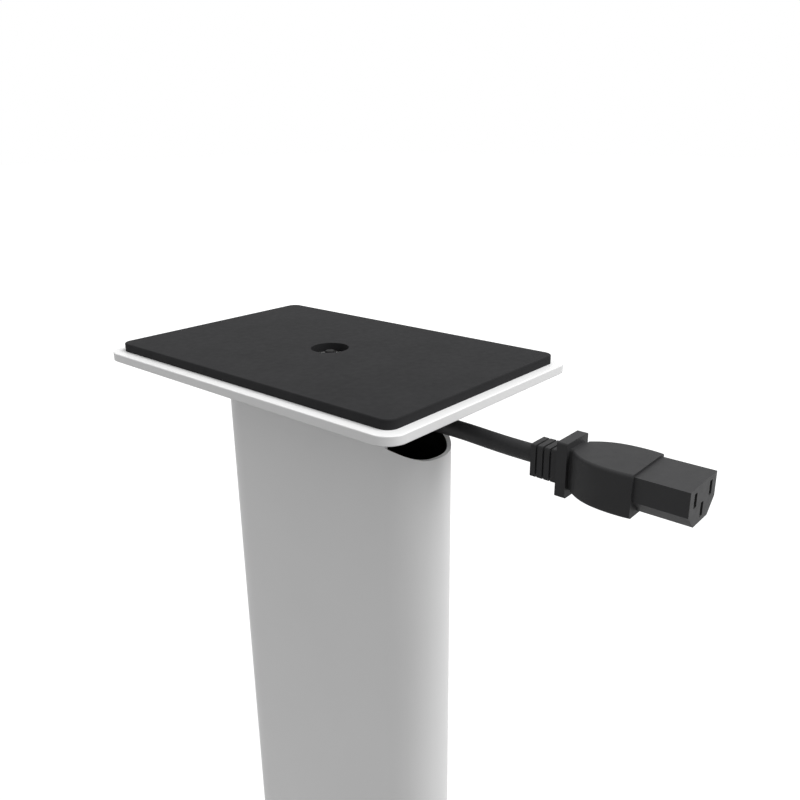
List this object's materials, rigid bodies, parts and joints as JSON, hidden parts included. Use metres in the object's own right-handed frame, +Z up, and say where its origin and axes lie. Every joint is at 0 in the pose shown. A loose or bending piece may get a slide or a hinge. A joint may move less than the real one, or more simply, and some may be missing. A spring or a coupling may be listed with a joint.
{
  "type": "speaker stand",
  "caption": "Floor stand for a small speaker: oval hollow column on a flat base plate with levelling feet, padded top plate, and a mains lead routed inside the column.",
  "frame": {"origin": "on the floor, midway under the base plate", "axes": "+Z up, +Y towards the rear where the lead leaves, +X to the right seen from the front"},
  "size_m": [0.23, 0.3444, 0.6103],
  "materials": {
    "white_coat": "satin fine powder coat on steel",
    "bare_steel": "bright zinc-plated steel",
    "dark_steel": "black oxide on steel",
    "pad_rubber": "matte black rubber sheet",
    "sole_rubber": "matte black rubber",
    "glide_plastic": "moulded black nylon",
    "lead_sheath": "black flexible lead sheath, soft satin",
    "connector_plastic": "black moulded plastic, fine grain",
    "nose_plastic": "black hard moulded plastic",
    "contact_metal": "plated brass",
    "tie_fabric": "black woven strap"
  },
  "bodies": {
    "stand": {"base_plate": "white_coat", "column": "white_coat", "lower_bridge": "dark_steel", "upper_bridge": "dark_steel", "top_plate": "white_coat", "top_pad": "pad_rubber", "tie_rod": "dark_steel", "tie_rod_nuts": "dark_steel", "tie_rod_washers": "dark_steel", "top_plate_screws": "bare_steel", "base_plate_screws": "bare_steel", "lead_upper": "lead_sheath", "lead_riser": "lead_sheath", "lead_lower": "lead_sheath", "lead_coil": "lead_sheath", "lead_end": "lead_sheath", "coil_tie": "tie_fabric", "connector_body": "connector_plastic", "connector_nose": "nose_plastic", "connector_contacts": "contact_metal", "plug_body": "connector_plastic", "plug_face": "nose_plastic", "plug_blades": "contact_metal", "plug_earth_pin": "contact_metal"},
    "foot_glide_front_left_body": {"foot_glide_front_left": "glide_plastic", "foot_sole_front_left": "sole_rubber"},
    "foot_stem_front_left_body": {"foot_stem_front_left": "bare_steel"},
    "foot_glide_front_right_body": {"foot_glide_front_right": "glide_plastic", "foot_sole_front_right": "sole_rubber"},
    "foot_stem_front_right_body": {"foot_stem_front_right": "bare_steel"},
    "foot_glide_rear_left_body": {"foot_glide_rear_left": "glide_plastic", "foot_sole_rear_left": "sole_rubber"},
    "foot_stem_rear_left_body": {"foot_stem_rear_left": "bare_steel"},
    "foot_glide_rear_right_body": {"foot_glide_rear_right": "glide_plastic", "foot_sole_rear_right": "sole_rubber"},
    "foot_stem_rear_right_body": {"foot_stem_rear_right": "bare_steel"}
  },
  "joints": [
    {"name": "foot_level_front_left", "type": "slide", "parent": "stand", "child": "foot_glide_front_left_body", "axis": [0, 0, -1], "range_m": [0, 0.004]},
    {"name": "foot_turn_front_left", "type": "hinge", "parent": "foot_glide_front_left_body", "child": "foot_stem_front_left_body", "pos_m": [-0.087, -0.133, 0.0118], "axis": [0, 0, -1], "range_deg": [0, 1152]},
    {"name": "foot_level_front_right", "type": "slide", "parent": "stand", "child": "foot_glide_front_right_body", "axis": [0, 0, -1], "range_m": [0, 0.004]},
    {"name": "foot_turn_front_right", "type": "hinge", "parent": "foot_glide_front_right_body", "child": "foot_stem_front_right_body", "pos_m": [0.087, -0.133, 0.0118], "axis": [0, 0, -1], "range_deg": [0, 1152]},
    {"name": "foot_level_rear_left", "type": "slide", "parent": "stand", "child": "foot_glide_rear_left_body", "axis": [0, 0, -1], "range_m": [0, 0.004]},
    {"name": "foot_turn_rear_left", "type": "hinge", "parent": "foot_glide_rear_left_body", "child": "foot_stem_rear_left_body", "pos_m": [-0.087, 0.133, 0.0118], "axis": [0, 0, -1], "range_deg": [0, 1152]},
    {"name": "foot_level_rear_right", "type": "slide", "parent": "stand", "child": "foot_glide_rear_right_body", "axis": [0, 0, -1], "range_m": [0, 0.004]},
    {"name": "foot_turn_rear_right", "type": "hinge", "parent": "foot_glide_rear_right_body", "child": "foot_stem_rear_right_body", "pos_m": [0.087, 0.133, 0.0118], "axis": [0, 0, -1], "range_deg": [0, 1152]}
  ],
  "couplings": [
    {"joint": "foot_level_front_left", "follows": "foot_turn_front_left", "m_per_rad": 0.00019894},
    {"joint": "foot_level_front_right", "follows": "foot_turn_front_right", "m_per_rad": 0.00019894},
    {"joint": "foot_level_rear_left", "follows": "foot_turn_rear_left", "m_per_rad": 0.00019894},
    {"joint": "foot_level_rear_right", "follows": "foot_turn_rear_right", "m_per_rad": 0.00019894}
  ]
}
